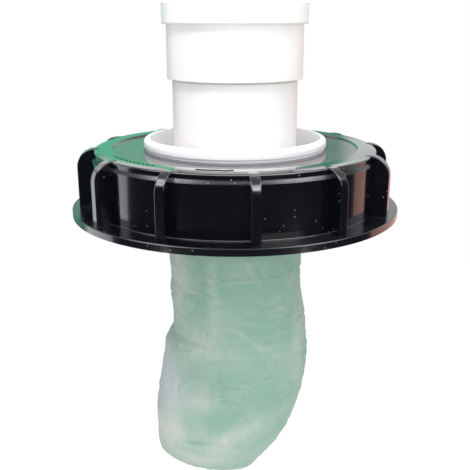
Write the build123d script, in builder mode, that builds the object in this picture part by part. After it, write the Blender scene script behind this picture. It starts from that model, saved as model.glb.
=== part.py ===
import os
from math import cos, radians, sin

from build123d import *

# Tank lid filter: a ribbed screw lid for the wide neck of a liquid tank.
# A white cup through its middle holds a rain pipe, and a mesh bag hangs under it.
# Sizes are in millimetres. Z points up along the pipe, and z = 0 is the lid's
# bottom rim. The photographed side faces -Y.

# Lid: the neck thread sets the radii outwards, one wall after another.
thread_crest_radius = 79.5
thread_depth = 3.5
thread_pitch = 7.0
thread_turns = 2.25
thread_start = 6.0
thread_root_width = 4.2
thread_crest_width = 1.6
thread_bury = 0.3
mouth_chamfer = 1.2
wall_thickness = 4.5
flange_width = 12.5
flange_thickness = 4.0
flange_edge_chamfer = 0.4
wall_foot_radius = 0.6
lid_height = 39.0
top_thickness = 5.0
panel_depth = 1.0
panel_step_radius = 0.4

# Shoulder of the lid, measured in and down from the wall's outer face and the top.
shoulder_ledge_drop = 5.5
shoulder_ledge_width = 1.5
shoulder_ledge_rise = 1.7
shoulder_face_lean = 0.4
shoulder_edge_radius = 1.2
border_slope_width = 3.0
border_slope_drop = 0.5
top_border_width = 7.2

# Grip ribs round the wall.
rib_count = 12
rib_first_angle = -83.6
rib_thickness = 5.6
rib_reach = 8.5
rib_top_radius = 11.5
rib_edge_radius = 0.8
rib_bury = 1.6

# Neck gasket and the low wall that keeps it in place.
gasket_width = 9.0
gasket_thickness = 3.0
gasket_thread_clearance = 0.5
gasket_keeper_clearance = 0.3
gasket_keeper_width = 1.5
gasket_keeper_depth = 1.6

# Rain pipe and the coupling on its top.
pipe_radius = 37.5
pipe_wall = 3.0
pipe_end_chamfer = 1.0
pipe_fit_clearance = 0.15
pipe_showing = 34.5
socket_wall = 2.75
socket_lower_depth = 19.0
socket_stop_height = 2.5
socket_upper_depth = 21.7
socket_bore_clearance = 0.2
socket_edge_radius = 0.6
socket_mouth_chamfer = 0.8
lip_height = 12.2
lip_thickness = 2.6
lip_edge_radius = 0.9

# White cup: rim on the lid's panel, body through the lid's hole, neck below.
neck_wall = 3.35
neck_bottom = -18.0
neck_stop_height = 3.0
neck_lip_width = 0.6
neck_lip_height = 3.0
trough_width = 10.2
cup_wall = 2.4
cup_rim_overhang = 2.9
cup_rim_height = 6.8
cup_rim_wall = 2.7
cup_floor_top = 20.0
cup_floor_thickness = 3.0
cup_floor_radius = 3.0
cup_hole_clearance = 0.4
gusset_count = 8
gusset_first_angle = 22.5
gusset_thickness = 2.0
gusset_reach = 8.0
gusset_drop = 10.0

# Ring nut that draws the cup down on the lid.
nut_clearance = 0.25
nut_width = 5.5
nut_height = 8.0
nut_edge_chamfer = 0.8
nut_notch_count = 8
nut_notch_radius = 2.6
nut_notch_depth = 6.0

# Mesh bag. Each section gives its place down the bag as a part of the bag's length.
# Its lean along X, half width and half depth follow, as parts of the mouth's radius.
bag_cloth = 1.0
bag_clearance = 0.3
bag_neck_length = 19.5
bag_length = 174.8
bag_sections = [
    (0.09, 0.0, 0.975, 0.975),
    (0.25, 0.05, 0.995, 0.945),
    (0.41, 0.035, 1.07, 0.855),
    (0.595, -0.065, 1.125, 0.8),
    (0.755, -0.19, 1.04, 0.755),
    (0.88, -0.30, 0.855, 0.61),
    (0.955, -0.305, 0.6, 0.41),
    (1.0, -0.25, 0.22, 0.14),
]

# Band clamp round the bag's neck.
band_thickness = 0.8
band_width = 10.0
band_rise = 9.5
band_clearance = 0.3
housing_length = 14.0
housing_height = 9.0
housing_depth = 8.0
housing_edge_radius = 1.5
screw_radius = 2.6
screw_clearance = 0.2
screw_length = 20.0
screw_head_width = 7.0
screw_head_length = 4.0
screw_slot_width = 1.2
screw_slot_depth = 1.5

# Radii and heights that follow from the sizes above.
thread_root_radius = thread_crest_radius + thread_depth
wall_radius = thread_root_radius + wall_thickness
flange_radius = wall_radius + flange_width
plate_underside = lid_height - top_thickness
panel_height = lid_height - panel_depth
shoulder_ledge_height = lid_height - shoulder_ledge_drop
shoulder_ledge_inner = wall_radius - shoulder_ledge_width
shoulder_top_radius = shoulder_ledge_inner - shoulder_face_lean
border_slope_outer = shoulder_top_radius - shoulder_edge_radius
border_slope_inner = border_slope_outer - border_slope_width
border_edge_height = lid_height - border_slope_drop
panel_radius = border_slope_inner - top_border_width
gasket_outer_radius = thread_crest_radius - gasket_thread_clearance
gasket_inner_radius = gasket_outer_radius - gasket_width
keeper_outer_radius = gasket_inner_radius - gasket_keeper_clearance
keeper_inner_radius = keeper_outer_radius - gasket_keeper_width
neck_bore_radius = pipe_radius + pipe_fit_clearance
neck_outer_radius = neck_bore_radius + neck_wall
neck_stop_top = neck_bottom + neck_stop_height
pipe_inner_radius = pipe_radius - pipe_wall
cup_inner_radius = neck_outer_radius + trough_width
cup_outer_radius = cup_inner_radius + cup_wall
cup_rim_radius = cup_outer_radius + cup_rim_overhang
lid_hole_radius = cup_outer_radius + cup_hole_clearance
cup_rim_top = panel_height + cup_rim_height
cup_floor_bottom = cup_floor_top - cup_floor_thickness
nut_inner_radius = cup_outer_radius + nut_clearance
nut_outer_radius = nut_inner_radius + nut_width
socket_bottom = cup_rim_top + pipe_showing
socket_stop_bottom = socket_bottom + socket_lower_depth
socket_stop_top = socket_stop_bottom + socket_stop_height
socket_top = socket_stop_top + socket_upper_depth
socket_bore_radius = pipe_radius + socket_bore_clearance
socket_outer_radius = socket_bore_radius + socket_wall
lip_radius = socket_outer_radius + lip_thickness
bag_neck_inner = neck_outer_radius + neck_lip_width + bag_clearance
bag_neck_outer = bag_neck_inner + bag_cloth
bag_mouth_height = neck_bottom + bag_neck_length
band_height = neck_bottom + band_rise
band_inner_radius = bag_neck_outer + band_clearance
band_outer_radius = band_inner_radius + band_thickness


def radial_plane(angle):
    """Upright plane through the axis: its first direction points outwards at this angle."""
    outward = (cos(radians(angle)), sin(radians(angle)), 0)
    across = (sin(radians(angle)), -cos(radians(angle)), 0)
    return Plane(origin=(0, 0, 0), x_dir=outward, z_dir=across)


# One grip rib: level with the top's border, rounded over the shoulder and down to the
# flange.
with BuildPart() as grip_rib:
    rib_root = shoulder_top_radius - rib_bury
    rib_crown_root = border_slope_inner - rib_bury
    rib_crown_bottom = lid_height - top_thickness / 2
    rib_face = wall_radius + rib_reach
    with BuildSketch(Plane.XZ):
        with BuildLine():
            Polyline(
                (rib_face - rib_top_radius, lid_height),
                (rib_crown_root, lid_height),
                (rib_crown_root, rib_crown_bottom),
                (rib_root, rib_crown_bottom),
                (rib_root, flange_thickness - rib_bury),
                (rib_face, flange_thickness - rib_bury),
                (rib_face, lid_height - rib_top_radius),
            )
            RadiusArc(
                (rib_face, lid_height - rib_top_radius),
                (rib_face - rib_top_radius, lid_height),
                -rib_top_radius,
            )
        make_face()
    extrude(amount=rib_thickness / 2, both=True)
    rib_outline = grip_rib.edges().filter_by(GeomType.CIRCLE)
    rib_outline += grip_rib.edges().filter_by(Axis.Z).group_by(Axis.X)[-1]
    rib_outline += grip_rib.edges().filter_by(Axis.X).group_by(Axis.Z)[-1]
    fillet(rib_outline, radius=rib_edge_radius)

# Lid: turned profile with its flange, wall, stepped shoulder, border that slopes down
# at its edge, sunk panel and hole.
with BuildPart() as lid:
    with BuildSketch(Plane.XZ):
        with BuildLine():
            Polyline(
                (thread_root_radius + mouth_chamfer, 0),
                (flange_radius, 0),
                (flange_radius, flange_thickness - flange_edge_chamfer),
                (flange_radius - flange_edge_chamfer, flange_thickness),
                (wall_radius + wall_foot_radius, flange_thickness),
            )
            RadiusArc(
                (wall_radius + wall_foot_radius, flange_thickness),
                (wall_radius, flange_thickness + wall_foot_radius),
                wall_foot_radius,
            )
            Polyline(
                (wall_radius, flange_thickness + wall_foot_radius),
                (wall_radius, shoulder_ledge_height),
                (shoulder_ledge_inner, shoulder_ledge_height + shoulder_ledge_rise),
                (shoulder_top_radius, border_edge_height - shoulder_edge_radius),
            )
            RadiusArc(
                (shoulder_top_radius, border_edge_height - shoulder_edge_radius),
                (border_slope_outer, border_edge_height),
                -shoulder_edge_radius,
            )
            Polyline(
                (border_slope_outer, border_edge_height),
                (border_slope_inner, lid_height),
                (panel_radius + panel_step_radius, lid_height),
                (panel_radius, panel_height),
                (lid_hole_radius, panel_height),
                (lid_hole_radius, plate_underside),
                (keeper_inner_radius, plate_underside),
                (keeper_inner_radius, plate_underside - gasket_keeper_depth),
                (keeper_outer_radius, plate_underside - gasket_keeper_depth),
                (keeper_outer_radius, plate_underside),
                (thread_root_radius, plate_underside),
                (thread_root_radius, mouth_chamfer),
                (thread_root_radius + mouth_chamfer, 0),
            )
        make_face()
    revolve(axis=Axis.Z)

    with PolarLocations(0, rib_count, start_angle=rib_first_angle):
        add(grip_rib.part)

    # Buttress thread for the tank's neck: steep flank up, long flank down.
    with BuildLine() as thread_path:
        Helix(
            pitch=thread_pitch,
            height=thread_pitch * thread_turns,
            radius=thread_root_radius,
            center=(0, 0, thread_start),
        )
    with BuildSketch(Plane(thread_path.line @ 0, x_dir=(1, 0, 0), z_dir=(0, -1, 0))):
        with BuildLine():
            Polyline(
                (thread_bury, -thread_root_width / 2),
                (thread_bury, thread_root_width / 2),
                (-thread_depth, thread_crest_width / 2),
                (-thread_depth, -thread_crest_width / 2),
                close=True,
            )
        make_face()
    sweep(path=thread_path.line, is_frenet=True)

# Flat gasket between the lid's plate and the rim of the tank's neck.
with BuildPart() as neck_gasket:
    with BuildSketch(Plane.XY.offset(plate_underside - gasket_thickness)):
        Circle(gasket_outer_radius)
        Circle(gasket_inner_radius, mode=Mode.SUBTRACT)
    extrude(amount=gasket_thickness)

# White cup: rounded rim, tapered mouth, trough round the pipe, and the neck below.
with BuildPart() as filter_cup:
    with BuildSketch(Plane.XZ):
        with BuildLine():
            Line(
                (cup_rim_radius, panel_height),
                (cup_rim_radius, cup_rim_top - cup_rim_wall),
            )
            RadiusArc(
                (cup_rim_radius, cup_rim_top - cup_rim_wall),
                (cup_rim_radius - cup_rim_wall, cup_rim_top),
                -cup_rim_wall,
            )
            Polyline(
                (cup_rim_radius - cup_rim_wall, cup_rim_top),
                (cup_inner_radius, panel_height),
                (cup_inner_radius, cup_floor_top + cup_floor_radius),
            )
            RadiusArc(
                (cup_inner_radius, cup_floor_top + cup_floor_radius),
                (cup_inner_radius - cup_floor_radius, cup_floor_top),
                cup_floor_radius,
            )
            Polyline(
                (cup_inner_radius - cup_floor_radius, cup_floor_top),
                (neck_bore_radius, cup_floor_top),
                (neck_bore_radius, neck_stop_top),
                (pipe_inner_radius, neck_stop_top),
                (pipe_inner_radius, neck_bottom),
                (neck_outer_radius, neck_bottom),
                (neck_outer_radius + neck_lip_width, neck_bottom + neck_lip_width),
                (neck_outer_radius + neck_lip_width, neck_bottom + neck_lip_height),
                (neck_outer_radius, neck_bottom + neck_lip_height),
                (neck_outer_radius, cup_floor_bottom),
                (cup_outer_radius, cup_floor_bottom),
                (cup_outer_radius, panel_height),
                (cup_rim_radius, panel_height),
            )
        make_face()
    revolve(axis=Axis.Z)

    # Gussets between the neck and the underside of the floor.
    for gusset_index in range(gusset_count):
        with BuildSketch(radial_plane(gusset_first_angle + gusset_index * 360 / gusset_count)):
            with BuildLine():
                Polyline(
                    (neck_outer_radius - neck_wall / 2, cup_floor_bottom + cup_floor_thickness / 2),
                    (neck_outer_radius + gusset_reach, cup_floor_bottom + cup_floor_thickness / 2),
                    (neck_outer_radius + gusset_reach, cup_floor_bottom),
                    (neck_outer_radius, cup_floor_bottom - gusset_drop),
                    (neck_outer_radius - neck_wall / 2, cup_floor_bottom - gusset_drop),
                    close=True,
                )
            make_face()
        extrude(amount=gusset_thickness / 2, both=True)

# Ring nut under the lid's plate, with notches for a spanner.
with BuildPart() as cup_nut:
    with BuildSketch(Plane.XY.offset(plate_underside - nut_height)):
        Circle(nut_outer_radius)
        Circle(nut_inner_radius, mode=Mode.SUBTRACT)
    extrude(amount=nut_height)
    nut_rims = cup_nut.faces().sort_by(Axis.Z)[0].edges()
    chamfer(nut_rims.sort_by(SortBy.LENGTH)[-1], length=nut_edge_chamfer)
    with BuildSketch(Plane.XY.offset(plate_underside - nut_height)):
        with PolarLocations(nut_outer_radius, nut_notch_count):
            Circle(nut_notch_radius)
    extrude(amount=nut_notch_depth, mode=Mode.SUBTRACT)

# Rain pipe, standing on the stop at the bottom of the cup's neck.
with BuildPart() as pipe_stub:
    with BuildSketch(Plane.XY.offset(neck_stop_top)):
        Circle(pipe_radius)
        Circle(pipe_inner_radius, mode=Mode.SUBTRACT)
    extrude(amount=socket_stop_bottom - neck_stop_top)
    pipe_rims = pipe_stub.edges().filter_by(GeomType.CIRCLE).group_by(SortBy.RADIUS)[-1]
    chamfer(pipe_rims, length=pipe_end_chamfer)

# Coupling: lower socket on the pipe, inner stop, upper socket with its thick lip.
with BuildPart() as pipe_socket:
    with BuildSketch(Plane.XZ):
        with BuildLine():
            Polyline(
                (neck_bore_radius, socket_bottom),
                (socket_outer_radius, socket_bottom),
                (socket_outer_radius, socket_top - lip_height),
                (lip_radius, socket_top - lip_height),
                (lip_radius, socket_top),
                (socket_bore_radius + socket_mouth_chamfer, socket_top),
                (socket_bore_radius, socket_top - socket_mouth_chamfer),
                (socket_bore_radius, socket_stop_top),
                (pipe_inner_radius, socket_stop_top),
                (pipe_inner_radius, socket_stop_bottom),
                (neck_bore_radius, socket_stop_bottom),
                close=True,
            )
        make_face()
    revolve(axis=Axis.Z)
    lip_rims = pipe_socket.edges().filter_by(GeomType.CIRCLE).group_by(SortBy.RADIUS)[-1]
    fillet(lip_rims, radius=lip_edge_radius)
    socket_rims = pipe_socket.faces().sort_by(Axis.Z)[0].edges()
    fillet(socket_rims.sort_by(SortBy.LENGTH)[-1], radius=socket_edge_radius)

# Mesh bag: open mouth over the neck, a round bag that leans, and a closed end.
with BuildPart() as filter_bag:
    with BuildSketch(Plane.XY.offset(neck_bottom)):
        Circle(bag_neck_outer)
    extrude(amount=bag_neck_length)
    with BuildSketch(Plane.XY.offset(neck_bottom)):
        Circle(bag_neck_outer)
    for drop, lean, half_width, half_depth in bag_sections:
        section_centre = (lean * bag_neck_outer, 0, neck_bottom - drop * bag_length)
        with BuildSketch(Plane(origin=section_centre)):
            Ellipse(half_width * bag_neck_outer, half_depth * bag_neck_outer)
    loft()
    with BuildSketch(Plane.XY.offset(neck_bottom)):
        Circle(bag_neck_inner)
    extrude(amount=bag_neck_length, mode=Mode.SUBTRACT)
    with BuildSketch(Plane.XY.offset(neck_bottom)):
        Circle(bag_neck_inner)
    for drop, lean, half_width, half_depth in bag_sections:
        inner_drop = min(drop * bag_length, bag_length - bag_cloth)
        with BuildSketch(Plane(origin=(lean * bag_neck_outer, 0, neck_bottom - inner_drop))):
            Ellipse(
                half_width * bag_neck_outer - bag_cloth,
                half_depth * bag_neck_outer - bag_cloth,
            )
    loft(mode=Mode.SUBTRACT)

# Band clamp: thin steel band with the screw's housing on the far side.
with BuildPart() as bag_clamp:
    with BuildSketch(Plane.XY.offset(band_height - band_width / 2)):
        Circle(band_outer_radius)
        Circle(band_inner_radius, mode=Mode.SUBTRACT)
    extrude(amount=band_width)
    with BuildSketch(Plane.XY.offset(band_height - housing_height / 2)):
        with Locations((0, band_inner_radius + housing_depth / 2 + band_thickness / 2)):
            RectangleRounded(housing_length, housing_depth, housing_edge_radius)
        Circle(band_inner_radius, mode=Mode.SUBTRACT)
    extrude(amount=housing_height)
    with BuildSketch(Plane.YZ.offset(-housing_length / 2)):
        with Locations((band_outer_radius + housing_depth / 2, band_height)):
            Circle(screw_radius + screw_clearance)
    extrude(amount=housing_length, mode=Mode.SUBTRACT)

# Clamp screw: plain shank and hexagon head with a slot.
with BuildPart() as clamp_screw:
    with BuildSketch(Plane.YZ.offset(housing_length / 2 + screw_clearance)):
        with Locations((band_outer_radius + housing_depth / 2, band_height)):
            RegularPolygon(screw_head_width / 2, 6, major_radius=False)
    extrude(amount=screw_head_length)
    with BuildSketch(Plane.YZ.offset(housing_length / 2 + screw_clearance)):
        with Locations((band_outer_radius + housing_depth / 2, band_height)):
            Circle(screw_radius)
    extrude(amount=-screw_length)
    with BuildSketch(Plane.YZ.offset(housing_length / 2 + screw_clearance + screw_head_length)):
        with Locations((band_outer_radius + housing_depth / 2, band_height)):
            Rectangle(screw_head_width * 2, screw_slot_width)
    extrude(amount=-screw_slot_depth, mode=Mode.SUBTRACT)

pieces = {
    "lid": lid,
    "neck_gasket": neck_gasket,
    "filter_cup": filter_cup,
    "cup_nut": cup_nut,
    "pipe_stub": pipe_stub,
    "pipe_socket": pipe_socket,
    "filter_bag": filter_bag,
    "bag_clamp": bag_clamp,
    "clamp_screw": clamp_screw,
}
os.makedirs("parts", exist_ok=True)
for piece_name, piece in pieces.items():
    piece.part.label = piece_name
    export_step(piece.part, f"parts/{piece_name}.step")
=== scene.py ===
from math import pi, radians

import bpy
import numpy as np
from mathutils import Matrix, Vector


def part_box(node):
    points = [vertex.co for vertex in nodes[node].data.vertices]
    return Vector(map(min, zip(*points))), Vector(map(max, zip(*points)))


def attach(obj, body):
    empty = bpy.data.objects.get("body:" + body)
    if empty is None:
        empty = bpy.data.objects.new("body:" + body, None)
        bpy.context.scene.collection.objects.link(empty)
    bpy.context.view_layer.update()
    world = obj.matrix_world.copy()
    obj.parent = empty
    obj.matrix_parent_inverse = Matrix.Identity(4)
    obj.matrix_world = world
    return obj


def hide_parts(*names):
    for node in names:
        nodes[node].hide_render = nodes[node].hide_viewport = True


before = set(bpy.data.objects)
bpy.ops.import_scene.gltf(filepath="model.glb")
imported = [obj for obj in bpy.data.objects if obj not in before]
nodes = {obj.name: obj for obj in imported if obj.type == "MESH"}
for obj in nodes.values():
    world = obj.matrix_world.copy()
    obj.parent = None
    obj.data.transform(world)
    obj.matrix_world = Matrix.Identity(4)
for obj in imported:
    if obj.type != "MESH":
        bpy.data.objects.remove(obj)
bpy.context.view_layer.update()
scene = bpy.context.scene
scene.view_settings.view_transform = "Standard"


class Wire:
    # an output socket whose sums and products become Math nodes
    def __init__(self, recipe, socket):
        self.recipe = recipe
        self.socket = socket

    def maths(self, operation, *values):
        settings = {"operation": operation}
        return self.recipe.add("ShaderNodeMath", settings, dict(enumerate(values)))

    def sine(self):
        return self.maths("SINE", self)

    def __add__(self, other):
        return self.maths("ADD", self, other)

    def __radd__(self, other):
        return self.maths("ADD", other, self)

    def __sub__(self, other):
        return self.maths("SUBTRACT", self, other)

    def __rsub__(self, other):
        return self.maths("SUBTRACT", other, self)

    def __mul__(self, other):
        return self.maths("MULTIPLY", self, other)

    def __rmul__(self, other):
        return self.maths("MULTIPLY", other, self)

    def __pow__(self, other):
        return self.maths("POWER", self, other)

    def __gt__(self, other):
        return self.maths("GREATER_THAN", self, other)

    def __lt__(self, other):
        return self.maths("LESS_THAN", self, other)


class Recipe:
    # the nodes of a material or of the world, added through one method for every kind
    def __init__(self, owner):
        owner.use_nodes = True
        self.owner = owner
        self.tree = owner.node_tree
        self.shader = self.tree.nodes.get("Principled BSDF")

    def add(self, kind, settings=None, inputs=None, output=0):
        node = self.tree.nodes.new(kind)
        for key, value in (settings or {}).items():
            setattr(node, key, value)
        for key, value in (inputs or {}).items():
            self.feed(node.inputs[key], value)
        return Wire(self, node.outputs[output])

    def feed(self, socket, value):
        if isinstance(value, Wire):
            self.tree.links.new(value.socket, socket)
        else:
            socket.default_value = value

    def look(self, **values):
        for key, value in values.items():
            self.feed(self.shader.inputs[key.replace("_", " ")], value)

    def place(self, kind="Object"):
        return self.add("ShaderNodeTexCoord", output=kind)

    def ray(self, kind):
        return self.add("ShaderNodeLightPath", output=f"Is {kind} Ray")

    def attribute(self, name):
        return self.add("ShaderNodeAttribute", {"attribute_name": name}, output="Fac")

    def axes(self, vector):
        split = self.add("ShaderNodeSeparateXYZ", inputs={0: vector})
        outputs = split.socket.node.outputs
        return [Wire(self, outputs[i]) for i in range(3)]

    def stretch(self, vector, scales):
        # coordinates multiplied axis by axis, so that a pattern draws out along one
        settings = {"operation": "MULTIPLY"}
        return self.add("ShaderNodeVectorMath", settings, {0: vector, 1: scales})

    def noise(self, vector, scale, detail=3.0, roughness=0.5):
        values = {"Vector": vector, "Scale": scale, "Detail": detail, "Roughness": roughness}
        return self.add("ShaderNodeTexNoise", inputs=values)

    def between(self, value, low, high, lowOut=0.0, highOut=1.0):
        # a straight ramp from one value to another, level outside them
        values = {0: value, 1: low, 2: high, 3: lowOut, 4: highOut}
        return self.add("ShaderNodeMapRange", inputs=values)

    def blend(self, factor, first, second):
        values = {0: factor, 6: first, 7: second}
        return self.add("ShaderNodeMix", {"data_type": "RGBA"}, values, output=2)

    def bump(self, height, distance, strength=1.0, under=None):
        values = {"Height": height, "Distance": distance, "Strength": strength}
        if under is not None:
            values["Normal"] = under
        return self.add("ShaderNodeBump", inputs=values)


def colour(red, green, blue):
    # opaque, as the nodes want it
    return (red, green, blue, 1.0)


def dress(piece, material):
    # the material as the piece's only one
    piece.data.materials.clear()
    piece.data.materials.append(material)


# In the dictionaries below a noise is its scale, detail and roughness, and a ramp is the
# value where it starts and the value where it ends. Lengths are in metres where nothing
# else is said.

# Camera: fitted to the photograph, a little above the lid and looking down on it.
cameraPlace = dict(
    distance=0.428,
    height=0.1107,
    pitch=16.85,
    focalPixels=699,
    framePixels=470,
    sensorWidth=36,
    nearest=0.01,
    farthest=50,
)


def makeCamera(look):
    # the lens is the sensor's width times the focal length over the picture's width
    data = bpy.data.cameras.new("camera")
    data.sensor_width = look["sensorWidth"]
    data.lens = look["sensorWidth"] * look["focalPixels"] / look["framePixels"]
    data.clip_start = look["nearest"]
    data.clip_end = look["farthest"]
    camera = bpy.data.objects.new("camera", data)
    camera.location = (0, -look["distance"], look["height"])
    camera.rotation_euler = (radians(90 - look["pitch"]), 0, 0)
    scene.collection.objects.link(camera)
    scene.camera = camera


makeCamera(cameraPlace)
print("camera placed")

# Stage: pale floor well below the hanging bag, white to the camera, soft lights.
floorLook = dict(height=-0.32, size=1.6, grey=0.8, roughness=0.9, whiteness=0.8, glow=1.12)
# the room that gloss mirrors: its colours, then its edges as ramps on the direction's axes
roomLook = dict(
    roomLight=0.6,
    darkRoom=colour(0.03, 0.033, 0.036),
    window=colour(1.5, 1.52, 1.6),
    door=colour(0.9, 0.5, 0.42),
    paleWall=colour(0.75, 0.8, 0.8),
    greenCloth=colour(0.16, 0.66, 0.4),
    shadedCloth=colour(0.1, 0.34, 0.22),
    upperWall=colour(1.5, 1.5, 1.52),
    beam=colour(0.35, 0.35, 0.37),
    ceiling=colour(0.5, 0.5, 0.52),
    softbox=colour(5.5, 5.4, 5.8),
    rippleScale=9.0,
    rippleDepth=0.1,
    horizon=(0.03, -0.03),
    windowSide=(-0.78, -0.84),
    doorSide=(0.2, 0.22),
    doorDepth=(0.24, 0.26),
    doorRipple=0.3,
    clothShade=(-0.1, 0.08),
    clothEnd=(0.145, 0.165),
    hangingEnd=(-0.2, -0.1),
    wallBottom=(0.25, 0.4),
    beamBottom=(0.45, 0.52),
    ceilingStart=(0.5, 0.6),
    jambDepth=(0.0, 0.02),
    brightDepth=(-0.05, 0.25),
    softboxDepth=(0.15, -0.05),
    softboxBottom=(0.55, 0.65),
    softboxTop=(0.93, 0.85),
)
lamps = [
    dict(name="topLamp", place=(-0.1, -0.5, 1.1), size=(0.8, 0.32), power=13.0, mirrored=False),
    dict(name="keyLamp", place=(0.75, -1.1, 0.8), size=(0.9, 0.9), power=5.3),
    dict(name="fillLamp", place=(0.0, -1.35, 0.0), size=(1.3, 0.8), power=4.8, mirrored=False),
]


def makeFloor(look):
    # a level square that is matt grey, and mostly a white glow where the camera sees it
    half = look["size"] / 2
    corners = [(-half, -half), (half, -half), (half, half), (-half, half)]
    mesh = bpy.data.meshes.new("floor")
    mesh.from_pydata([(x, y, look["height"]) for x, y in corners], [], [(0, 1, 2, 3)])
    floor = bpy.data.objects.new("floor", mesh)
    scene.collection.objects.link(floor)
    recipe = Recipe(bpy.data.materials.new("paleFloor"))
    grey = look["grey"]
    recipe.look(Base_Color=colour(grey, grey, grey), Roughness=look["roughness"])
    glow = {"Color": colour(1, 1, 1), "Strength": look["glow"]}
    white = recipe.add("ShaderNodeEmission", inputs=glow)
    shader = Wire(recipe, recipe.shader.outputs[0])
    parts = {0: recipe.ray("Camera") * look["whiteness"], 1: shader, 2: white}
    mixed = recipe.add("ShaderNodeMixShader", inputs=parts)
    recipe.feed(recipe.tree.nodes["Material Output"].inputs[0], mixed)
    dress(floor, recipe.owner)


def makeWorld(look):
    # white to the camera, an even grey light on matt surfaces, and for gloss a dark room
    # in front of a bright one: a window at the far left, a green cloth from the left to
    # the middle, a brown door low at the right, then a wall, a beam, the dim ceiling and a
    # bright strip of it over the camera
    world = bpy.data.worlds.new("studio")
    scene.world = world
    recipe = Recipe(world)
    toward = recipe.place("Generated")
    x, y, z = recipe.axes(toward)

    def ramp(value, name):
        return recipe.between(value, *look[name])

    ragged = y + (recipe.noise(toward, look["rippleScale"]) - 0.5) * look["rippleDepth"]
    below = ramp(z, "horizon")
    atLeft = ramp(x, "windowSide")
    cloth = recipe.blend(ramp(x, "clothShade"), look["greenCloth"], look["shadedCloth"])
    low = recipe.blend(ramp(x, "clothEnd"), cloth, look["paleWall"])
    hanging = recipe.blend(ramp(x, "hangingEnd"), look["shadedCloth"], look["darkRoom"])
    low = recipe.blend(below, low, hanging)
    doorway = ramp(y + (ragged - y) * look["doorRipple"], "doorDepth") * below
    low = recipe.blend(ramp(x, "doorSide") * doorway, low, look["door"])
    low = recipe.blend(atLeft, low, look["window"])
    high = recipe.blend(ramp(z, "beamBottom"), look["upperWall"], look["beam"])
    board = recipe.blend(ramp(z, "wallBottom"), low, high)
    jamb = ramp(ragged, "jambDepth") * atLeft
    edge = jamb + ramp(y, "brightDepth") * (1 - atLeft)
    mirrored = recipe.blend(edge, look["darkRoom"], board)
    mirrored = recipe.blend(ramp(z, "ceilingStart"), mirrored, look["ceiling"])
    strip = ramp(z, "softboxBottom") * ramp(z, "softboxTop") * ramp(y, "softboxDepth")
    mirrored = recipe.blend(strip, mirrored, look["softbox"])
    grey = look["roomLight"]
    clear = recipe.ray("Camera") + recipe.ray("Transmission")
    seen = recipe.blend(clear, colour(grey, grey, grey), colour(1, 1, 1))
    shown = recipe.blend(recipe.ray("Glossy"), seen, mirrored)
    recipe.feed(recipe.tree.nodes["Background"].inputs["Color"], shown)


def makeLamp(name, place, size, power, mirrored=True):
    # a rectangle of light turned so that it faces the origin
    data = bpy.data.lights.new(name, "AREA")
    data.shape = "RECTANGLE"
    data.size, data.size_y = size
    data.energy = power
    lamp = bpy.data.objects.new(name, data)
    lamp.location = place
    toward = -np.array(place)
    flat = np.hypot(toward[0], toward[1])
    tilt = pi / 2 + np.arctan2(toward[2], flat)
    lamp.rotation_euler = (tilt, 0, np.arctan2(toward[1], toward[0]) - pi / 2)
    lamp.visible_glossy = mirrored
    scene.collection.objects.link(lamp)


makeFloor(floorLook)
makeWorld(roomLook)
for lamp in lamps:
    makeLamp(**lamp)
print("stage lit")


def numbered(points, closed=(0, 0)):
    # the numbers of a grid's points. Where its rows or columns close on themselves, the
    # first one comes again after the last
    index = np.arange(points.shape[0] * points.shape[1]).reshape(points.shape[:2])
    return np.pad(index, ((0, closed[0]), (0, closed[1])), mode="wrap")


def gridFaces(index, flipped=False):
    # a quad between every four neighbours of a grid of point numbers
    corners = [index[:-1, :-1], index[1:, :-1], index[1:, 1:], index[:-1, 1:]]
    if flipped:
        corners = corners[:1] + corners[:0:-1]
    return np.stack(corners, axis=-1).reshape(-1, 4)


def meshPiece(name, points, groups, sharpFrom=35):
    # each group is an array of faces that have the same number of corners. Edges that
    # bend by more than sharpFrom degrees stay sharp
    faces = [face for group in groups for face in group.tolist()]
    mesh = bpy.data.meshes.new(name)
    mesh.from_pydata(points.reshape(-1, 3).tolist(), [], faces)
    mesh.polygons.foreach_set("use_smooth", np.ones(len(faces), bool))
    if sharpFrom is not None:
        mesh.set_sharp_from_angle(angle=radians(sharpFrom))
    mesh.update()
    piece = bpy.data.objects.new(name, mesh)
    scene.collection.objects.link(piece)
    return piece


def polar(radius, angle, height):
    # millimetres and degrees round the axis become metres along X, Y and Z
    turn = np.radians(angle)
    x, y, z = np.broadcast_arrays(radius * np.cos(turn), radius * np.sin(turn), height)
    return np.stack([x, y, z], axis=-1) / 1000


def slabs(low, high):
    # low and high hold [slab, corner, axis]: the same outlines, counterclockwise from above
    count, corners = low.shape[:2]
    points = np.concatenate([low, high], axis=1)
    first = np.arange(count)[:, None] * 2 * corners
    ring = np.arange(corners)
    after = np.roll(ring, -1)
    sides = np.stack([ring, after, after + corners, ring + corners], axis=-1)
    walls = (first[:, :, None] + sides).reshape(-1, 4)
    return points.reshape(-1, 3), [walls, first + ring + corners, first + ring[::-1]]


def joined(shapes):
    # several pairs of points and groups of faces as one, each numbered on from the last
    points = np.concatenate([own for own, groups in shapes])
    starts = np.cumsum([0] + [len(own) for own, groups in shapes])
    moved = [group + start for start, shape in zip(starts, shapes) for group in shape[1]]
    return points, moved


def thicken(piece, thickness):
    # a wall of one thickness, half of it on each side of the surface
    wall = piece.modifiers.new("wall", "SOLIDIFY")
    wall.thickness = thickness
    wall.offset = 0


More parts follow.
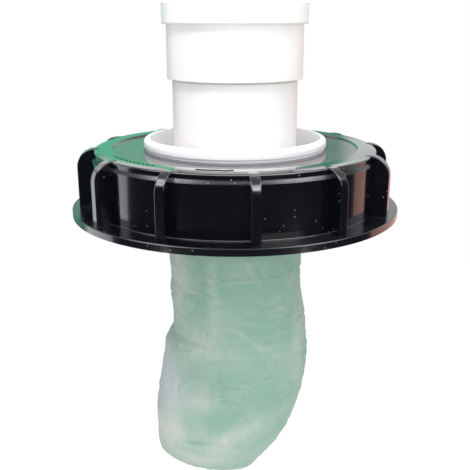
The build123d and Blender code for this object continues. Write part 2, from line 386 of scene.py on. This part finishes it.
# Lid: glossy black moulding with a grained and slightly domed panel and settled dust.
lidLook = dict(
    black=colour(0.0020, 0.0026, 0.0046),
    dust=colour(0.2, 0.2, 0.21),
    fluff=colour(0.5, 0.5, 0.52),
    # where the panel, the shoulder's ledge, the wall and the flange are
    panelRadius=0.0741,
    panelHeight=0.038,
    panelMargin=0.0004,
    ledgeHeight=0.03435,
    ledgeRadius=0.0855,
    ledgeBand=(3e-7, 2e-7),
    wallRadius=0.0876,
    flangeTop=0.0046,
    facingUp=(0.3, 0.9),
    # smudges and dust
    smudge=(28.0, 4.0, 0.6),
    dusting=(0.45, 0.75),
    dustAmount=0.08,
    panelDust=0.4,
    # specks of fluff, denser in clusters and low on the wall
    speckScale=520.0,
    speckSize=0.13,
    speckChance=0.98,
    lowWall=(0.03, 0.004),
    lowWallChance=0.07,
    clusters=(0.45, 0.7),
    clusterChance=0.06,
    speckTone=(0.8, 1.0, 0.25, 0.9),
    # roughness of each part, and what smudges, specks and the ledge add to it
    wallRoughness=0.12,
    panelRoughness=0.4,
    flangeRoughness=0.2,
    smudgeRoughness=0.08,
    speckRoughness=0.4,
    ledgeRoughness=0.1,
    # grain, and the dome from its level middle out to the panel's edge
    grain=(1100.0, 2.0, 0.7),
    grainDepth=0.0002,
    grainStrength=0.6,
    panelGrain=4.0,
    flangeGrain=0.3,
    wallGrain=0.07,
    domeStart=0.05,
    panelRise=0.08,
    # the clear coat, and what it loses on each part
    coatRoughness=0.08,
    flangeDulling=0.8,
    panelDulling=0.1,
    ledgeDulling=0.4,
    mottle=(420.0, 2.0, 0.6),
    mottling=(0.4, 0.6),
)


def lidMaterial(look):
    # masks from radius, height and the way a face points say which part of the lid it is,
    # and each mask times its value is added to the colour, roughness, grain or coat
    recipe = Recipe(bpy.data.materials.new("blackLid"))
    place = recipe.place()
    x, y, z = recipe.axes(place)
    normal = recipe.add("ShaderNodeNewGeometry", output="Normal")
    upward = recipe.between(recipe.axes(normal)[2], *look["facingUp"])
    radius = (x * x + y * y) ** 0.5
    onPanel = (radius < look["panelRadius"]) * (z > look["panelHeight"] - look["panelMargin"])
    onFlange = (radius > look["wallRadius"]) * (z < look["flangeTop"])
    fromLedge = z - look["ledgeHeight"]
    ledgeBand = recipe.between(fromLedge * fromLedge, *look["ledgeBand"])
    onLedge = (radius > look["ledgeRadius"]) * ledgeBand
    smudge = recipe.noise(place, *look["smudge"])
    grain = recipe.noise(place, *look["grain"])
    cellValues = {"Vector": place, "Scale": look["speckScale"]}
    cell = recipe.add("ShaderNodeTexVoronoi", inputs=cellValues)
    pick = recipe.add("ShaderNodeTexVoronoi", inputs=cellValues, output="Color")
    chance = recipe.add("ShaderNodeSeparateColor", inputs={0: pick})
    lowWall = recipe.between(z, *look["lowWall"]) * look["lowWallChance"]
    cluster = recipe.between(smudge, *look["clusters"]) * look["clusterChance"]
    chosen = chance + lowWall + cluster > look["speckChance"]
    speck = (cell < chance * look["speckSize"]) * chosen
    dusty = recipe.between(smudge, *look["dusting"]) * upward
    dulled = dusty * look["dustAmount"] + onPanel * smudge * look["panelDust"]
    shade = recipe.blend(dulled, look["black"], look["dust"])
    shade = recipe.blend(speck * recipe.between(chance, *look["speckTone"]), shade, look["fluff"])
    rough = look["wallRoughness"] + smudge * look["smudgeRoughness"]
    rough = rough + speck * look["speckRoughness"] + onLedge * look["ledgeRoughness"]
    rough = rough + onPanel * (look["panelRoughness"] - look["wallRoughness"])
    rough = rough + onFlange * upward * (look["flangeRoughness"] - look["wallRoughness"])
    start, edge = look["domeStart"], look["panelRadius"]
    hill = edge - recipe.between(radius, start, edge, start, edge)
    domed = recipe.bump(hill * look["panelRise"], 1.0)
    coarse = onPanel * look["panelGrain"] + onFlange * look["flangeGrain"] + look["wallGrain"]
    grained = recipe.bump(grain * coarse, look["grainDepth"], look["grainStrength"], domed)
    mottle = recipe.between(recipe.noise(place, *look["mottle"]), *look["mottling"])
    glossy = 1.0 - onFlange * upward * look["flangeDulling"] - onPanel * look["panelDulling"]
    recipe.look(
        Base_Color=shade,
        Roughness=rough,
        Normal=grained,
        Coat_Weight=glossy - onLedge * mottle * look["ledgeDulling"],
        Coat_Roughness=look["coatRoughness"],
    )
    return recipe.owner


# Marks on the border: a plain raised arrow for the way the lid turns, and a row of dots.
# Angles are in degrees and lengths in millimetres.
marksLook = dict(
    arrowFrom=-105.0,
    arrowTo=-90.5,
    arrowPoints=14,
    headLength=4.2,
    middleRadius=77.7,
    shaftWidth=1.5,
    headWidth=3.8,
    dotsFrom=-150.0,
    dotsTo=-124.0,
    dotCount=11,
    dotRadius=0.5,
    dotCorners=12,
    borderHeight=39.0,
    rise=0.35,
    sunk=0.2,
)


def makeMarks(look):
    # flat outlines made into slabs: a strip along an arc with a triangle at its end, and
    # circles at equal angles
    low, high = look["borderHeight"] - look["sunk"], look["borderHeight"] + look["rise"]
    middle = look["middleRadius"]
    neck = look["arrowTo"] - look["headLength"]
    sweep = np.linspace(look["arrowFrom"], neck, look["arrowPoints"])
    half = look["shaftWidth"] / 2
    angles = np.concatenate([sweep, sweep[::-1]])[None]
    radii = np.repeat([middle + half, middle - half], look["arrowPoints"])[None]
    shaft = slabs(polar(radii, angles, low), polar(radii, angles, high))
    wide = look["headWidth"] / 2
    headAngles = np.array([[neck, look["arrowTo"], neck]])
    headRadii = np.array([[middle + wide, middle, middle - wide]])
    head = slabs(polar(headRadii, headAngles, low), polar(headRadii, headAngles, high))
    centres = polar(middle, np.linspace(look["dotsFrom"], look["dotsTo"], look["dotCount"]), 0.0)
    turns = np.linspace(0, 360, look["dotCorners"], endpoint=False)
    dots = centres[:, None] + polar(look["dotRadius"], turns, 0.0)[None]
    up = np.array([0, 0, 0.001])
    row = slabs(dots + up * low, dots + up * high)
    return meshPiece("turnMarks", *joined([shaft, head, row]))


# Teeth: a ring of small radial ridges that lies on the sloping ledge of the shoulder.
# Angles are in degrees and lengths in millimetres.
teethLook = dict(
    count=300,
    inner=86.05,
    outer=87.4,
    innerHeight=35.14,
    outerHeight=33.61,
    widthAngle=0.5,
    rise=0.4,
    sunk=0.3,
)


def makeTeeth(look):
    # one four-cornered slab at each equal angle, sloping down from the inner radius to
    # the outer one
    half = look["widthAngle"] / 2
    spots = np.arange(look["count"])[:, None] * 360 / look["count"]
    angles = spots + np.array([-half, half, half, -half])
    radii = np.repeat([look["outer"], look["inner"]], 2)[None]
    heights = np.repeat([look["outerHeight"], look["innerHeight"]], 2)[None]
    low = polar(radii, angles, heights - look["sunk"])
    high = polar(radii, angles, heights + look["rise"])
    return meshPiece("shoulderTeeth", *slabs(low, high))


blackLid = lidMaterial(lidLook)
dress(nodes["lid"], blackLid)
marks = makeMarks(marksLook)
dress(marks, blackLid)
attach(marks, "root")
teeth = makeTeeth(teethLook)
dress(teeth, blackLid)
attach(teeth, "root")
print("lid finished")

# White mouldings: cup, nut, pipe and coupling share a plastic, each with its own tint,
# roughness and stretch of the streaks along the axis.
whiteParts = dict(
    cup=dict(name="whiteCup", tint=colour(0.97, 0.96, 0.985), roughness=0.32, streaks=1.0),
    nut=dict(name="whiteNut", tint=colour(0.86, 0.86, 0.88), roughness=0.36, streaks=1.0),
    pipe=dict(name="whitePipe", tint=colour(0.91, 0.895, 0.88), roughness=0.28, streaks=0.08),
    coupling=dict(
        name="whiteCoupling", tint=colour(0.915, 0.90, 0.885), roughness=0.26, streaks=0.3
    ),
)
whitePlastic = dict(
    cloud=(60.0, 4.0, 0.6),
    shading=(0.3, 0.75),
    shadeDepth=0.94,
    cloudRoughness=0.12,
    grain=(900.0, 2.0, 0.6),
    grainDepth=0.00003,
    grainStrength=0.4,
    specular=0.25,
    # painted shadow under the coupling's edge: its colour, how far below the edge it starts and
    # ends, how dark it is at least, and what the cloud adds
    shadowLine=colour(0.35, 0.34, 0.33),
    shadowStart=0.0016,
    shadowEnd=0.0002,
    shadowLeast=0.75,
    shadowCloud=0.25,
)


def whiteMaterial(part, look, jointHeight=None):
    # a cloudy tint over fine grain, with a painted shadow line just below jointHeight, where
    # the coupling's edge meets the pipe and shades it
    recipe = Recipe(bpy.data.materials.new(part["name"]))
    place = recipe.place()
    stretched = recipe.stretch(place, (1.0, 1.0, part["streaks"]))
    cloud = recipe.noise(stretched, *look["cloud"])
    grain = recipe.noise(stretched, *look["grain"])
    darker = tuple(v * look["shadeDepth"] for v in part["tint"][:3])
    shade = recipe.blend(recipe.between(cloud, *look["shading"]), part["tint"], colour(*darker))
    if jointHeight is not None:
        z = recipe.axes(place)[2]
        # painted shadow on the pipe just under the coupling's edge, deeper where the cloud is high
        start, end = jointHeight - look["shadowStart"], jointHeight - look["shadowEnd"]
        shadowAmount = recipe.between(z, start, end) * (look["shadowLeast"] + cloud * look["shadowCloud"])
        shade = recipe.blend(shadowAmount, shade, look["shadowLine"])
    recipe.look(
        Base_Color=shade,
        Roughness=part["roughness"] + cloud * look["cloudRoughness"],
        Normal=recipe.bump(grain, look["grainDepth"], look["grainStrength"]),
        Specular_IOR_Level=look["specular"],
    )
    return recipe.owner


# Cup: its rim stands a little narrower over a low foot than in the CAD model. Angles are
# in degrees and lengths in millimetres.
cupLook = dict(
    columns=144,
    rimRadius=55.6,
    rimTop=44.8,
    rimRound=2.7,
    rimSteps=9,
    rimBottom=39.5,
    undersideRound=0.5,
    undersideLean=0.2,
    footRadius=54.7,
    panelHeight=38.0,
    bodyRadius=53.65,
    insideRadius=51.25,
    mouthRound=0.7,
    mouthTaper=1.3,
    mouthEnd=170,
    edgeSteps=5,
    floorTop=20.0,
    floorBottom=17.0,
    floorRound=3.0,
    floorSteps=7,
    neckRadius=41.05,
    neckBore=37.7,
    neckBottom=-18.0,
    stopTop=-15.0,
    stopRadius=35.3,
    lipWidth=0.6,
    lipHeight=3.0,
    gussets=8,
    firstGusset=22.5,
    gussetHalf=1.0,
    gussetReach=8.0,
    gussetDrop=10.0,
    gussetBuried=1.6,
    gussetInFloor=1.5,
)


def arc(radius, height, size, start, end, steps):
    # points round a centre in the profile's plane, from one angle in degrees to another
    turn = np.radians(np.linspace(start, end, steps))
    return np.stack([radius + size * np.cos(turn), height + size * np.sin(turn)], axis=-1)


def makeCup(look):
    # a closed profile of radius and height turned round the axis, and one plate for each
    # gusset under the floor
    rim, top, bend = look["rimRadius"], look["rimTop"], look["rimRound"]
    neck, bottom, lip = look["neckRadius"], look["neckBottom"], look["lipWidth"]
    bore, floor, turn = look["neckBore"], look["floorTop"], look["floorRound"]
    inside, mouth = look["insideRadius"], look["mouthRound"]
    under, small, edgeSteps = look["rimBottom"], look["undersideRound"], look["edgeSteps"]
    profile = np.concatenate([
        [(neck + lip, bottom + lip), (neck + lip, bottom + look["lipHeight"])],
        [(neck, bottom + look["lipHeight"]), (neck, look["floorBottom"])],
        [(look["bodyRadius"], look["floorBottom"]), (look["bodyRadius"], look["panelHeight"])],
        [(look["footRadius"], look["panelHeight"])],
        [(look["footRadius"], under - look["undersideLean"])],
        arc(rim - small, under + small, small, -90, 0, edgeSteps),
        arc(rim - bend, top - bend, bend, 0, 90, look["rimSteps"]),
        arc(inside + look["mouthTaper"], top - mouth, mouth, 90, look["mouthEnd"], edgeSteps),
        [(inside, look["panelHeight"])],
        arc(inside - turn, floor + turn, turn, 0, -90, look["floorSteps"]),
        [(bore, floor), (bore, look["stopTop"]), (look["stopRadius"], look["stopTop"])],
        [(look["stopRadius"], bottom), (neck, bottom)],
    ])
    angles = np.arange(look["columns"]) * 360 / look["columns"]
    points = polar(profile[:, :1], angles[None], profile[:, 1:])
    faces = gridFaces(numbered(points, closed=(1, 1)), flipped=True)
    reach = neck + look["gussetReach"]
    buried = neck - look["gussetBuried"]
    radii = np.array([buried, buried, neck, reach, reach])
    drop = look["floorBottom"] - look["gussetDrop"]
    inFloor = floor - look["gussetInFloor"]
    heights = np.array([inFloor, drop, drop, look["floorBottom"], inFloor])
    spokes = look["firstGusset"] + np.arange(look["gussets"]) * 360 / look["gussets"]
    plates = polar(radii[None], spokes[:, None], heights[None])
    aside = polar(look["gussetHalf"], spokes + 90, 0.0)[:, None]
    gussets = slabs(plates + aside, plates - aside)
    return meshPiece("filterCup", *joined([(points.reshape(-1, 3), [faces]), gussets]))


cup = makeCup(cupLook)
dress(cup, whiteMaterial(whiteParts["cup"], whitePlastic))
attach(cup, "root")
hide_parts("filter_cup")
dress(nodes["cup_nut"], whiteMaterial(whiteParts["nut"], whitePlastic))
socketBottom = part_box("pipe_socket")[0][2]
dress(nodes["pipe_stub"], whiteMaterial(whiteParts["pipe"], whitePlastic, socketBottom))
dress(nodes["pipe_socket"], whiteMaterial(whiteParts["coupling"], whitePlastic))
print("white parts finished")

# Gasket: matt black rubber with a fine talc bloom.
gasketLook = dict(
    rubber=colour(0.022, 0.022, 0.023),
    bloom=colour(0.11, 0.11, 0.11),
    cloud=(90.0, 5.0, 0.65),
    blooming=(0.45, 0.8),
    roughness=0.62,
    cloudRoughness=0.25,
    grain=(2200.0, 2.0, 0.5),
    grainDepth=0.00008,
    grainStrength=0.6,
)


def gasketMaterial(look):
    # the bloom shows where the cloud is high, and makes the rubber rougher
    recipe = Recipe(bpy.data.materials.new("gasketRubber"))
    place = recipe.place()
    cloud = recipe.noise(place, *look["cloud"])
    grain = recipe.noise(place, *look["grain"])
    bloomed = recipe.between(cloud, *look["blooming"])
    recipe.look(
        Base_Color=recipe.blend(bloomed, look["rubber"], look["bloom"]),
        Roughness=look["roughness"] + cloud * look["cloudRoughness"],
        Normal=recipe.bump(grain, look["grainDepth"], look["grainStrength"]),
    )
    return recipe.owner


dress(nodes["neck_gasket"], gasketMaterial(gasketLook))

# Clamp and its screw: steel with drawn lines along the band and round the screw.
steelLook = dict(
    steel=colour(0.56, 0.56, 0.57),
    dark=colour(0.36, 0.36, 0.37),
    bandStretch=(0.1, 0.1, 4.0),
    screwStretch=(3.0, 1.0, 1.0),
    lines=(700.0, 3.0, 0.7),
    linesDepth=0.00004,
    linesStrength=0.5,
    linesRoughness=0.2,
    roughness=0.36,
    patches=(120.0, 3.0, 0.5),
)


def steelMaterial(name, look, stretch):
    # one stretched noise gives the lines their height and roughness, another the patches
    recipe = Recipe(bpy.data.materials.new(name))
    place = recipe.place()
    lines = recipe.noise(recipe.stretch(place, stretch), *look["lines"])
    patch = recipe.noise(place, *look["patches"])
    recipe.look(
        Base_Color=recipe.blend(patch, look["steel"], look["dark"]),
        Metallic=1.0,
        Roughness=look["roughness"] + lines * look["linesRoughness"],
        Normal=recipe.bump(lines, look["linesDepth"], look["linesStrength"]),
    )
    return recipe.owner


dress(nodes["bag_clamp"], steelMaterial("clampSteel", steelLook, steelLook["bandStretch"]))
dress(nodes["clamp_screw"], steelMaterial("screwSteel", steelLook, steelLook["screwStretch"]))
print("small parts finished")

# Mesh bag: a sleeve of thin cloth, clamped at its neck, that leans and creases.
bagLook = dict(
    around=176,
    down=150,
    thickness=0.0005,
    girth=0.262,
    length=0.212,
    # height, left edge, right edge and half depth down the bag, in millimetres
    outline=[
        (1.4, -42.4, 42.4, 42.4),
        (-10.0, -42.4, 42.4, 42.4),
        (-20.0, -42.1, 42.1, 42.2),
        (-33.0, -41.5, 41.5, 41.8),
        (-43.0, -40.8, 41.2, 42.0),
        (-53.0, -41.6, 42.0, 41.4),
        (-65.0, -40.2, 44.4, 40.6),
        (-74.0, -39.6, 45.8, 39.8),
        (-80.0, -40.4, 46.4, 39.0),
        (-84.5, -43.4, 46.9, 38.0),
        (-89.0, -45.4, 47.5, 36.8),
        (-96.5, -46.8, 48.3, 35.6),
        (-107.0, -48.5, 47.9, 34.6),
        (-122.0, -50.9, 45.3, 33.8),
        (-139.0, -53.2, 40.6, 31.8),
        (-153.0, -53.2, 35.2, 28.6),
        (-164.0, -53.0, 29.0, 24.4),
        (-172.0, -51.2, 22.9, 20.4),
        (-178.6, -44.8, 17.8, 15.6),
        (-183.6, -35.6, 14.0, 11.8),
        (-187.8, -22.0, 10.0, 6.8),
        (-190.2, -7.0, 4.0, 2.0),
    ],
    # how the cloth settles: it grows by a share of its size, held firmly above a height
    growth=0.035,
    frames=22,
    heldAbove=-0.021,
    heldFirmly=1.0,
    heldSoftly=0.2,
    quality=5,
    mass=0.15,
    tension=12,
    compression=12,
    shear=6,
    bending=0.4,
    pinning=1.0,
    gravity=0.3,
    # where the cloth looks milky on the photographed side, in millimetres: centre along X
    # and Z, half length, half width, lean in degrees, and how milky, or greener below zero
    milkyPatches=[
        (-35.0, -40.0, 6.5, 26.0, 0.0, 0.75),
        (-13.0, -47.0, 3.5, 28.0, 0.0, 0.4),
        (40.0, -82.0, 5.0, 34.0, 4.0, 0.3),
        (13.0, -77.0, 18.0, 1.6, -40.0, 0.22),
        (20.0, -62.0, 12.0, 7.0, 8.0, -0.25),
        (-22.0, -79.0, 13.0, 11.0, 0.0, 0.4),
        (-2.0, -104.0, 8.0, 5.0, 10.0, -0.3),
        (-22.0, -121.0, 11.0, 8.0, 20.0, 0.36),
        (-8.0, -131.0, 11.0, 1.5, 10.0, -0.5),
        (2.0, -145.0, 25.0, 6.5, 29.0, 0.5),
        (-25.0, -154.0, 9.0, 1.4, 4.0, -0.6),
        (-24.0, -171.0, 20.0, 7.0, 2.0, 0.6),
        (14.0, -158.0, 15.0, 3.0, 38.0, -0.25),
        # this oval pales the left edge partly for the cloth's own colour and partly as painted
        # light against the shade where the cloth turns away from the lamps
        (-45.0, -150.0, 12.0, 16.0, 0.0, 0.7),
        (26.0, -128.0, 12.0, 16.0, 20.0, -0.2),
    ],
    # the first blue oval is partly the cloth's own colour and partly painted light against the
    # shade at the left edge
    bluePatches=[(-44.0, -110.0, 11.0, 32.0, 4.0, 1.0), (-10.0, -160.0, 10.0, 5.0, 0.0, 0.4)],
    patchStrength=1.1,
    paleBelow=40,
    paleReach=150,
    paleFade=500,
    backTone=0.4,
    backWaves=0.3,
    # lengths along X and Z of the waves at the back, and of those that they fade with
    waveLengths=(9, 23),
    fadeLengths=(31, 17),
    wavePhase=1.3,
    sideWidth=16,
    # colours and finish
    green=colour(0.29, 0.48, 0.375),
    milk=colour(0.58, 0.64, 0.575),
    blue=colour(0.60, 0.66, 0.69),
    haze=colour(0.8, 0.86, 0.8),
    blueness=0.85,
    cloud=(26.0, 3.0, 0.55),
    cloudMilk=0.4,
    patch=(55.0, 2.0, 0.5),
    patchMilk=0.6,
    # how strongly the folds get painted light and shade: ridges paler, hollows greener
    foldShadeMilk=120.0,
    milking=(0.0, 0.95),
    crinkleStretch=(0.55, 0.8, 1.5),
    crinkle=(26.0, 1.0, 0.45),
    creaseWidth=(0.0012, 0.0),
    creaseMilk=0.8,
    creaseDepth=0.001,
    creaseStrength=0.5,
    creaseCloud=0.6,
    ripple=(70.0, 2.0, 0.5),
    rippleMiddle=0.42,
    weave=9000.0,
    weaveDepth=0.00005,
    weaveStrength=0.4,
    roughness=0.55,
    cloudRoughness=0.15,
    opacity=0.9,
    specular=0.2,
    sheen=0.35,
    sheenRoughness=0.45,
)
# Back seam of the bag, in its cloth: how many columns it takes to each side, how far it
# stands off, and the row where it starts.
seamLook = dict(
    cells=2,
    lift=0.0006,
    firstRow=12,
    thickness=bagLook["thickness"],
    cloth=bagLook["milk"],
    shadow=bagLook["green"],
    thread=bagLook["haze"],
    cloud=(120.0, 3.0, 0.6),
    stitches=2400.0,
    stitching=(0.3, 0.6),
    threadShare=0.25,
    weave=9000.0,
    weaveShare=0.2,
    depth=0.00015,
    strength=0.5,
    roughness=0.6,
    cloudRoughness=0.15,
    specular=0.2,
)


def smoothThrough(place, knots, values):
    # cubic pieces through the points, whose slopes come from the neighbours on both sides
    slopes = np.gradient(values, knots)
    index = np.clip(np.searchsorted(knots, place) - 1, 0, len(knots) - 2)
    width = knots[index + 1] - knots[index]
    t = (place - knots[index]) / width
    low, high = values[index], values[index + 1]
    slopeLow, slopeHigh = slopes[index] * width, slopes[index + 1] * width
    return (
        (2 * t**3 - 3 * t**2 + 1) * low
        + (t**3 - 2 * t**2 + t) * slopeLow
        + (3 * t**2 - 2 * t**3) * high
        + (t**3 - t**2) * slopeHigh
    )


def tubePiece(name, points, uv):
    # points[row, column] become a tube of quads round the columns, closed at its last row
    bottom = numbered(points)[-1:, ::-1]
    sides = gridFaces(numbered(points, closed=(0, 1)))
    piece = meshPiece(name, points, [sides, bottom], sharpFrom=None)
    mesh = piece.data
    layer = mesh.uv_layers.new(name="cloth")
    corners = np.zeros(len(mesh.loops), int)
    mesh.loops.foreach_get("vertex_index", corners)
    layer.data.foreach_set("uv", uv.reshape(-1, 2)[corners].ravel())
    mesh.update()
    return piece


def bagPoints(look):
    # each row is an ellipse between the left and right edges at its height, and the rows
    # crowd together towards the bottom as the sine of the way down
    shape = np.array(look["outline"]) / 1000
    around = np.arange(look["around"]) / look["around"] * 2 * pi
    fraction = np.sin(np.linspace(0, 1, look["down"]) * pi / 2)
    height = shape[0, 0] + (shape[-1, 0] - shape[0, 0]) * fraction
    knots = -shape[:, 0]
    left, right, depth = [smoothThrough(-height, knots, shape[:, i]) for i in (1, 2, 3)]
    x = (left + right)[:, None] / 2 + (right - left)[:, None] / 2 * np.cos(around)
    y = depth[:, None] * np.sin(around)
    z = np.broadcast_to(height[:, None], x.shape)
    uv = np.stack(
        np.broadcast_arrays(around / (2 * pi) * look["girth"], -height[:, None]), axis=-1
    )
    return np.stack([x, y, z], axis=-1), uv


def ovals(patches, x, z):
    # the sum of soft ovals, each falling off as a bell curve
    total = np.zeros(x.shape)
    for cx, cz, wide, high, lean, level in patches:
        turn = radians(lean)
        along = (x - cx) * np.cos(turn) + (z - cz) * np.sin(turn)
        up = (z - cz) * np.cos(turn) - (x - cx) * np.sin(turn)
        total += level * np.exp(-((along / wide) ** 2) - (up / high) ** 2)
    return total


def clothTints(points, look):
    # the front has the ovals on a tone that pales downwards, the back has slow waves, the
    # products of two sines, and the two fade into each other at the sides
    x, y, z = [points[..., i] * 1000 for i in range(3)]
    paling = np.clip(-z - look["paleBelow"], 0, look["paleReach"]) / look["paleFade"]
    front = ovals(look["milkyPatches"], x, z) * look["patchStrength"] + paling
    (waveX, waveZ), (fadeX, fadeZ) = look["waveLengths"], look["fadeLengths"]
    fading = np.sin(z / fadeZ - x / fadeX)
    waves = np.sin(x / waveX + z / waveZ + look["wavePhase"]) * fading
    side = np.clip(0.5 - y / look["sideWidth"], 0, 1)
    behind = look["backTone"] + look["backWaves"] * waves
    milk = np.clip(front * side + behind * (1 - side), 0, 1)
    blue = np.clip(ovals(look["bluePatches"], x, z), 0, 1)
    return milk, blue


def meshPlaces(mesh):
    # the places of a mesh's points as rows of X, Y and Z
    places = np.empty(len(mesh.vertices) * 3, np.float32)
    mesh.vertices.foreach_get("co", places)
    return places.reshape(-1, 3)


def settleCloth(piece, look):
    # the cloth grows a little while soft springs hold it near its form, so it creases
    hold = piece.vertex_groups.new(name="hold")
    height = meshPlaces(piece.data)[:, 2]
    clamped = np.flatnonzero(height > look["heldAbove"])
    free = np.flatnonzero(height <= look["heldAbove"])
    hold.add(clamped.tolist(), look["heldFirmly"], "REPLACE")
    hold.add(free.tolist(), look["heldSoftly"], "REPLACE")
    cloth = piece.modifiers.new("cloth", "CLOTH")
    settings = cloth.settings
    settings.quality = look["quality"]
    settings.mass = look["mass"]
    settings.tension_stiffness = look["tension"]
    settings.compression_stiffness = look["compression"]
    settings.shear_stiffness = look["shear"]
    settings.bending_stiffness = look["bending"]
    settings.vertex_group_mass = "hold"
    settings.pin_stiffness = look["pinning"]
    settings.shrink_min = -look["growth"]
    settings.effector_weights.gravity = look["gravity"]
    cloth.collision_settings.use_collision = False
    cloth.point_cache.frame_end = look["frames"]
    for step in range(1, look["frames"] + 1):
        scene.frame_set(step)
    bpy.context.view_layer.update()
    settled = piece.evaluated_get(bpy.context.evaluated_depsgraph_get())
    result = meshPlaces(settled.data)
    piece.modifiers.remove(cloth)
    piece.vertex_groups.clear()
    piece.data.vertices.foreach_set("co", result.ravel())
    piece.data.update()
    scene.frame_set(1)


def makeBag(look):
    # the smooth sleeve, settled as cloth. How far each point moved outwards is kept as a point
    # attribute that paints light and shade on the folds: paler where the cloth bulged out,
    # greener where it sank in
    points, uv = bagPoints(look)
    bag = tubePiece("meshBag", points, uv)
    before = meshPlaces(bag.data).reshape(points.shape)
    settleCloth(bag, look)
    settled = meshPlaces(bag.data).reshape(points.shape)
    outward = points - points.mean(axis=1, keepdims=True)
    outward /= np.linalg.norm(outward, axis=2, keepdims=True) + 1e-9
    foldShade = ((settled - before) * outward).sum(axis=2)
    print("cloth moved by", float(np.abs(foldShade).max()), "m at most, typically", float(foldShade.std()))
    milk, blue = clothTints(points, look)
    for label, values in (("foldShade", foldShade), ("milk", milk), ("blue", blue)):
        attribute = bag.data.attributes.new(label, "FLOAT", "POINT")
        attribute.data.foreach_set("value", values.ravel())
    thicken(bag, look["thickness"])
    return bag, settled, outward


def makeSeam(name, points, outward, look):
    # a felled seam down the back: the cloth's own columns, lifted off it and thickened
    middle = points.shape[1] // 4
    columns = slice(middle - look["cells"], middle + look["cells"] + 1)
    strip = (points + outward * look["lift"])[look["firstRow"]:-1, columns]
    seam = meshPiece(name, strip, [gridFaces(numbered(strip))])
    thicken(seam, look["thickness"])
    return seam


def bagMaterial(look):
    # green cloth that turns milky with the patches and thin crease lines, where a stretched
    # noise passes its middle, and with painted light and shade on the folds: paler on their
    # ridges, greener in their hollows. The weave is the product of two sines
    recipe = Recipe(bpy.data.materials.new("greenMesh"))
    place = recipe.place()
    onCloth = recipe.place("UV")
    cloud = recipe.noise(place, *look["cloud"])
    patch = recipe.noise(place, *look["patch"])
    stretched = recipe.stretch(place, look["crinkleStretch"])
    crinkle = recipe.noise(stretched, *look["crinkle"]) - 0.5
    crease = recipe.between(crinkle * crinkle, *look["creaseWidth"])
    ripple = recipe.noise(onCloth, *look["ripple"])
    milky = recipe.attribute("milk") + (patch - 0.5) * look["patchMilk"]
    # the cloud's tone at random, and painted light and shade on the folds
    milky = milky + (cloud - 0.5) * look["cloudMilk"] + recipe.attribute("foldShade") * look["foldShadeMilk"]
    milky = milky + crease * (ripple - look["rippleMiddle"]) * look["creaseMilk"]
    shade = recipe.blend(recipe.between(milky, *look["milking"]), look["green"], look["milk"])
    shade = recipe.blend(recipe.attribute("blue") * look["blueness"], shade, look["blue"])
    u, v = recipe.axes(onCloth)[:2]
    weave = (u * look["weave"]).sine() * (v * look["weave"]).sine()
    height = crease * ripple + cloud * look["creaseCloud"]
    creased = recipe.bump(height, look["creaseDepth"], look["creaseStrength"])
    recipe.look(
        Base_Color=shade,
        Roughness=look["roughness"] + cloud * look["cloudRoughness"],
        Normal=recipe.bump(weave, look["weaveDepth"], look["weaveStrength"], creased),
        Alpha=look["opacity"],
        Specular_IOR_Level=look["specular"],
        Sheen_Weight=look["sheen"],
        Sheen_Roughness=look["sheenRoughness"],
        Sheen_Tint=look["haze"],
    )
    return recipe.owner


def seamMaterial(look):
    # doubled cloth, so paler, with rows of stitches where the height's sine peaks
    recipe = Recipe(bpy.data.materials.new("seamMesh"))
    place = recipe.place()
    x, z = recipe.axes(place)[::2]
    cloud = recipe.noise(place, *look["cloud"])
    stitch = (z * look["stitches"]).sine()
    weave = (x * look["weave"]).sine()
    shade = recipe.blend(cloud, look["cloth"], look["shadow"])
    thread = recipe.between(stitch, *look["stitching"]) * look["threadShare"]
    height = stitch + weave * look["weaveShare"]
    recipe.look(
        Base_Color=recipe.blend(thread, shade, look["thread"]),
        Roughness=look["roughness"] + cloud * look["cloudRoughness"],
        Normal=recipe.bump(height, look["depth"], look["strength"]),
        Specular_IOR_Level=look["specular"],
    )
    return recipe.owner


bag, settled, outward = makeBag(bagLook)
seam = makeSeam("bagSeam", settled, outward, seamLook)
dress(bag, bagMaterial(bagLook))
dress(seam, seamMaterial(seamLook))
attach(bag, "root")
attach(seam, "root")
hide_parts("filter_bag")
print("bag finished")
